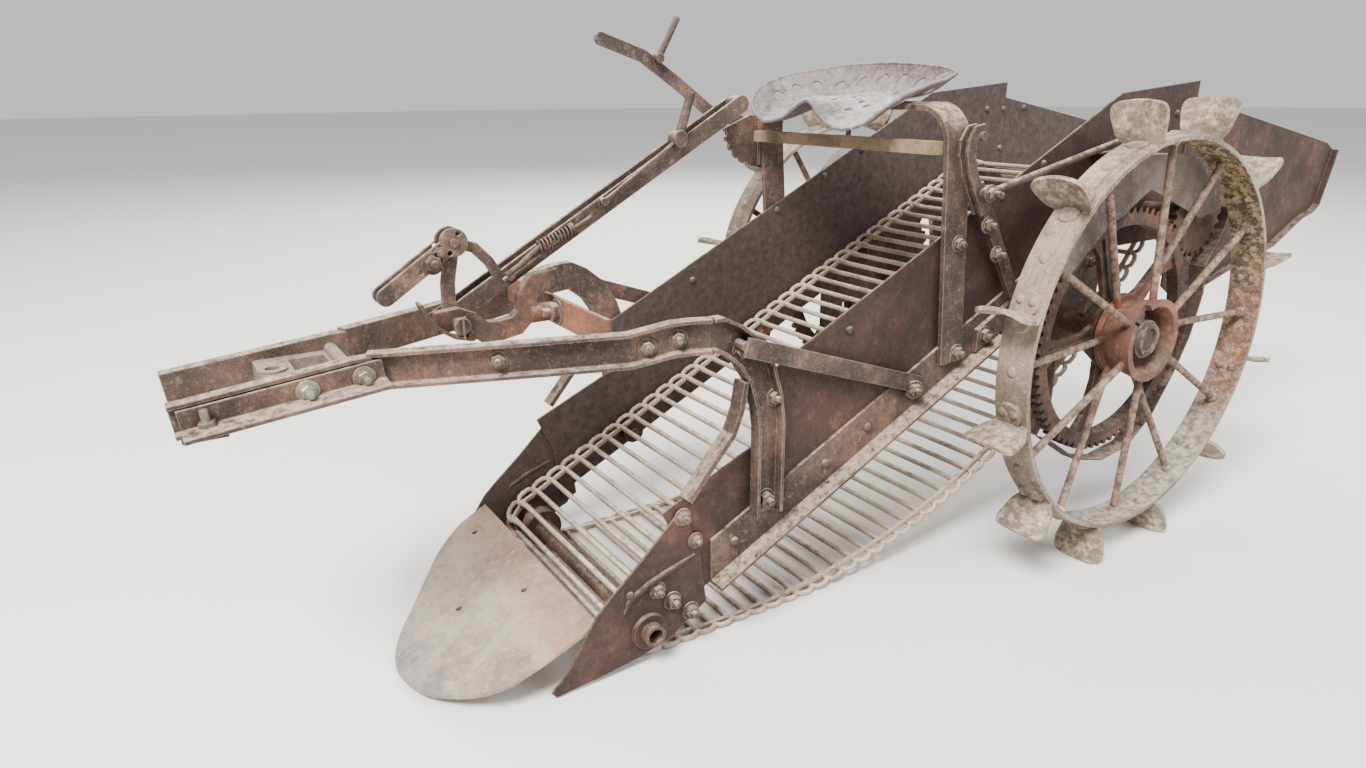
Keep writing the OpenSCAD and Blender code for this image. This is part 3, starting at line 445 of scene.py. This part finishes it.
lever_bits = Kit()
a, b = at(-4, -1129, 708), at(-4, -1063, 733)
axis = unit(b - a)
side = unit(np.cross(axis, (1, 0, 0)))
length = np.linalg.norm(b - a)
COILS, STEPS, COIL_R, WIRE_R = 10, 14, 0.0105, 0.0021
coil = []
for i in range(COILS * STEPS + 1):
    turn = 2 * math.pi * i / STEPS
    coil.append(a + axis * length * i / (COILS * STEPS)
                + COIL_R * (math.cos(turn) * side + math.sin(turn) * np.array((1, 0, 0))))
lever_bits.tube(coil, WIRE_R, 6)
lever_bits.tube([at(-6, -1190, 666), at(-6, -1165, 680), at(-4, -1140, 700), at(-4, -1122, 711)], 0.0055, 10)
lever_bits.tube([at(-4, -1063, 733), at(-5, -1040, 744), at(-8, -1022, 752)], 0.0045, 8)
lever_bits.lathe(b, axis, [(-0.002, 0.013), (0.004, 0.013), (0.005, 0.011)], 16)
lever_bits.piece("lever_spring", "lift_lever", MATS["cast_iron"], "cast_iron")
link_bits = Kit()
for y, z, size in ((-1316, 701, 14), (-1301, 715, 8)):
    hex_bolt(link_bits, at(-6, y, z), (1, 0, 0), size / 1000, tail=0.4)
link_bits.piece("link_bolts", "front_link", MATS["cast_iron"], "cast_iron")

# ---- wheels: the lugs' feet and rivets, and the spoke heads -----------------------------------

WHEEL_X = 453.5
LUGS = 12
LUG_STEP = 360 / LUGS
RIM_OUT, RIM_IN = 406, 397


def on_wheel(s, turn, x, y, z):
    """A point of the wheel on side s: x from its middle, y and z from the axle before the turn in degrees."""
    c, w = math.cos(math.radians(turn)), math.sin(math.radians(turn))
    return np.array([s * (WHEEL_X + x) / 1000, AXLE.y + (y * c - z * w) / 1000, AXLE.z + (y * w + z * c) / 1000])


def outward(s, turn):
    return on_wheel(s, turn, 0, 0, 1000) - on_wheel(s, turn, 0, 0, 0)


for s, side_name in ((1, "left"), (-1, "right")):
    heads = Kit()
    for k in range(LUGS):
        turn = LUG_STEP * (k + 0.5)
        out = outward(s, turn)
        heads.lathe(on_wheel(s, turn, 0, 21, 402), out, [(0, 0.026), (0.0095, 0.026), (0.011, 0.0245)], 24)
        heads.lathe(on_wheel(s, turn, 0, -14, 402), out, [(0, 0.020), (0.0085, 0.020), (0.010, 0.0185)], 20)
        for x in (-13, 13):
            rivet(heads, on_wheel(s, turn, x, 26, 412.8), out, 0.0085)
            rivet(heads, on_wheel(s, turn, x, 26, 396.2), -out, 0.009)
        # the spoke halfway to the next lug
        turn = LUG_STEP * k
        spoke = outward(s, turn)
        heads.lathe(on_wheel(s, turn, 0, 0, RIM_OUT + 1.5), spoke,
                    [(0, 0.011), (0.003, 0.0105), (0.0052, 0.007), (0.0058, 0.002)], 16)
        heads.lathe(on_wheel(s, turn, 0, 0, RIM_IN - 12), spoke, [(0, 0.0085), (0.004, 0.0115), (0.0125, 0.0125)], 14)
    heads.piece("wheel_rivets_" + side_name, "wheel_" + side_name, MATS["wheel_iron"], "wheel_iron")

# ---- the hooks that join the chain's rods ----------------------------------------------------

mesh = frame["nodes"]["rod_chain"].data
co = np.empty(len(mesh.vertices) * 3)
mesh.vertices.foreach_get("co", co)
co = co.reshape(-1, 3)
ends = co[co[:, 0] > 0.2439][:, 1:]
rods = []
while len(ends):
    near = np.linalg.norm(ends - ends[0], axis=1) < 0.0135
    rods.append((ends[near].min(0) + ends[near].max(0)) / 2)
    ends = ends[~near]
loop = [rods.pop(0)]
while rods:
    k = min(range(len(rods)), key=lambda i: np.linalg.norm(rods[i] - loop[-1]))
    loop.append(rods.pop(k))
loop = np.array(loop)
area2 = sum(loop[i - 1][0] * loop[i][1] - loop[i][0] * loop[i - 1][1] for i in range(len(loop)))
if area2 > 0:
    loop = loop[::-1]
# the loop now runs up the upper run and back below, so its outside is to the left of its direction
FLOOR_GAP = 0.006  # the hooks under the lowest rods don't go through the floor
hooks = Kit()
for i in range(len(loop)):
    p, q = loop[i], loop[i - 1]
    along = unit(p - q)
    out = np.array((-along[1], along[0]))
    pitch = np.linalg.norm(p - q)

    # x, distance along the loop from the rod before, distance outward, and radius
    path = ((0.205, pitch, 0.001, 0.0052), (0.226, pitch - 0.001, 0.0045, 0.0055), (0.243, pitch - 0.004, 0.008, 0.0055),
            (0.252, pitch - 0.013, 0.0095, 0.0055), (0.2535, 0.012, 0.0095, 0.0055), (0.250, 0.001, 0.009, 0.0055),
            (0.242, -0.0055, 0.0075, 0.005), (0.235, -0.0075, 0.004, 0.0048), (0.232, -0.0085, 0.0, 0.004))
    for s in SIDES:
        points = []
        for x, t, n, _ in path:
            c = q + along * t + out * n
            points.append(np.array((s * x, c[0], max(c[1], FLOOR_GAP))))
        hooks.tube(points, [r for _, _, _, r in path], 8)
hooks.piece("rod_hooks", "frame", MATS["rod_steel"], "rod_steel")

# ---- shovel: the same blade with its worn edge drawn smooth ----------------------------------

BLADE_HALF, BLADE_LONG, BLADE_TIP, BLADE_THICK = 267, 289.6, -1468, 8.5
SLOPE = math.tan(math.radians(20.4))
# x and y of the outline, as shares of the blade's half width and length, from one rear corner to the other
WORN = [(-1, 1), (-0.94, 0.78), (-0.77, 0.57), (-0.57, 0.42), (-0.31, 0.24), (-0.11, 0.1), (0.1, 0.015), (0.3, 0.01),
        (0.56, 0.07), (0.775, 0.2), (0.92, 0.34), (0.985, 0.47), (1, 0.62), (1, 1)]
EDGE_STEPS = 5
line = np.array([(BLADE_HALF * a, BLADE_LONG * b) for a, b in WORN])
soft_line = smooth_ring(line, EDGE_STEPS)[EDGE_STEPS:EDGE_STEPS * 11 + 1]
blade = np.concatenate([line[:1], line[1:2], soft_line[1:], line[12:]])
SLOTS = [(x, y * BLADE_LONG, 6) for x, y in ((6, 0.46), (72, 0.82), (-190, 0.82))]
shovel = Kit()


def blade_skin(lift):
    return lambda x, y: [at(p, q + BLADE_TIP, 0.1 + SLOPE * q + lift) for p, q in zip(x, y)]


shovel.plate(blade, SLOTS, 14.0, blade_skin(BLADE_THICK), blade_skin(0.0))
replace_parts(shovel.piece("shovel_blade", "frame", MATS["worn_steel"], "worn_steel"), "shovel")

# ---- wheels' rims with cupped lugs -----------------------------------------------------------

LUG_THICK, CUP, LUG_FRONT, LUG_FOOT = 8.0, 0.0035, 4.5, 402
spade = np.array([(-27.5, 0), (-38, 9), (-47, 22), (-52, 42), (-55, 60), (-53, 75), (-43, 82.5), (-24, 85), (0, 86),
                  (24, 85), (43, 82.5), (53, 75), (55, 60), (52, 42), (47, 22), (38, 9), (27.5, 0)], float)
spade = smooth_ring(spade, 3)[:-3]
section = [(-35.5, RIM_OUT), (-13, RIM_OUT), (-12, RIM_OUT + 3), (12, RIM_OUT + 3), (13, RIM_OUT), (35.5, RIM_OUT),
           (35.5, RIM_IN), (-35.5, RIM_IN)]
for s, side_name in ((1, "left"), (-1, "right")):
    rim = Kit()
    rim.rings([np.array([on_wheel(s, a, x, 0, z) for x, z in section]) for a in np.arange(144) * 2.5],
              closed=True, smooth=False)
    for k in range(LUGS):
        def skin(back, turn=LUG_STEP * (k + 0.5)):
            return lambda x, y: [on_wheel(s, turn, p, LUG_FRONT - back - CUP * p * p, LUG_FOOT + q) for p, q in zip(x, y)]
        rim.plate(spade, [], 9.0, skin(0.0), skin(LUG_THICK))
    obj = rim.piece("wheel_rim_" + side_name, "wheel_" + side_name, MATS["wheel_iron"], "wheel_iron")
    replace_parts(obj, "rim_" + side_name)

# ---- seat pan --------------------------------------------------------------------------------


SEAT_Y = -405
# x, y and height of the rim's points, from the middle of the front round the near side and the back
RIM = np.array([
    (0, -134, 945), (22, -137, 938), (60, -146, 914), (115, -149, 896), (165, -140, 903), (195, -122, 927),
    (212, -90, 952), (215, -40, 969), (208, 0, 977), (195, 50, 984), (175, 98, 994), (150, 116, 1001),
    (100, 121, 1009), (0, 122, 1017), (-100, 121, 1018), (-150, 116, 1016), (-175, 98, 1013), (-195, 50, 1006),
    (-208, 0, 998), (-215, -40, 989), (-212, -90, 969), (-195, -122, 946), (-165, -140, 923), (-115, -149, 904),
    (-60, -146, 913), (-22, -137, 936)], float)
rim_line = smooth_ring(RIM, 8)


def pan_z(x, yy):
    """A flat bottom that falls to the front lobes, and a wall that steepens towards the rim."""
    g = np.clip(-yy / 141, 0, 1)
    low = 950.5 + 0.394 * np.minimum(yy, 0) + 48 * g ** 1.5 * np.exp(-(x / 38) ** 2) + 5 * g
    gap = np.hypot(x[:, None] - rim_line[None, :, 0], yy[:, None] - rim_line[None, :, 1])
    near = rim_line[gap.argmin(1)]
    return low + (near[:, 2] - low) * np.clip(1 - gap.min(1) / 82, 0, 1) ** 1.9


HOLES = [(x, y, 12) for x, y in ((-184, -55), (-177, -11), (-165, 39), (-138, 80), (-81, 90), (-24, 95), (33, 96),
                                 (88, 91), (140, 76), (166, 36), (179, -12), (186, -56))]
HOLES += [(x, y, 7) for x, y in ((-46, -18), (1, -7), (0, 44), (51, -31), (56, -71), (82, -47), (-52, 30), (50, 34))]


def pan_skin(drop):
    return lambda x, y: [at(p, q + SEAT_Y, h - drop) for p, q, h in zip(x, y, pan_z(x, y))]


pan = Kit()
pan.plate(rim_line[:, :2], HOLES, 8.0, pan_skin(0.0), pan_skin(3.5))
inner = rim_line * 0.994
pan.tube(pan_skin(1.8)(inner[:, 0], inner[:, 1]), 0.0034, 8, closed=True)
seat_obj = pan.piece("seat_pan", "frame", MATS["seat_steel"], "seat_steel")
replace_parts(seat_obj, "seat")

# ---- floor, lights and camera ----------------------------------------------------------------

bpy.ops.mesh.primitive_circle_add(vertices=96, radius=40, fill_type="NGON", location=(0, 0, 0))
floor = bpy.context.object
floor.name = "floor"
ft = Tree("floor")
pale = ft.mix(ft.noise(1.5, 4, 0.5), (0.76, 0.75, 0.73, 1), (0.80, 0.79, 0.77, 1))
floor.data.materials.append(ft.finish(pale, 0.85, ft.noise(300, 3, 0.5), 0.0003))


def area(name, place, target, size, power, color):
    d = bpy.data.lights.new(name, "AREA")
    d.shape, d.size, d.energy, d.color = "DISK", size, power, color
    o = bpy.data.objects.new(name, d)
    bpy.context.scene.collection.objects.link(o)
    o.location = place
    o.rotation_euler = (Vector(target) - Vector(place)).to_track_quat("-Z", "Y").to_euler()


area("key", (2.5, -4.5, 6.0), (0, 0, 0.4), 3.0, 860, (1.0, 0.98, 0.95))
area("fill", (6.0, 3.5, 4.0), (0, 0, 0.4), 5.0, 300, (0.93, 0.96, 1.0))
area("rear", (-5.0, 3.0, 5.0), (0, 0, 0.5), 4.0, 320, (1.0, 0.99, 0.97))
world = bpy.data.worlds.new("studio")
world.use_nodes = True
world.node_tree.nodes["Background"].inputs[0].default_value = (0.86, 0.86, 0.85, 1)
world.node_tree.nodes["Background"].inputs[1].default_value = 0.62
bpy.context.scene.world = world
bpy.context.scene.view_settings.view_transform = "AgX"
bpy.context.scene.view_settings.look = "AgX - Medium High Contrast"
bpy.context.scene.view_settings.exposure = 0.15

# the camera as solved from the photograph: place in metres, turns in radians, focal length in pixels
PLACE = (1.4174, -1.4334, 0.9743)
YAW, PITCH, ROLL = 1.0065, 0.3288, -0.0084
FOCAL, PHOTO_WIDTH = 874.99, 1366
d = Vector((-math.sin(YAW) * math.cos(PITCH), math.cos(YAW) * math.cos(PITCH), -math.sin(PITCH)))
r = Vector((math.cos(YAW), math.sin(YAW), 0))
u = r.cross(d)
right = math.cos(ROLL) * r + math.sin(ROLL) * u
up = math.cos(ROLL) * u - math.sin(ROLL) * r
cam = bpy.data.cameras.new("camera")
cam.sensor_width = 36
cam.lens = FOCAL / PHOTO_WIDTH * cam.sensor_width
cam_obj = bpy.data.objects.new("camera", cam)
bpy.context.scene.collection.objects.link(cam_obj)
cam_obj.matrix_world = Matrix.Translation(PLACE) @ Matrix((right, up, -d)).transposed().to_4x4()
bpy.context.scene.camera = cam_obj
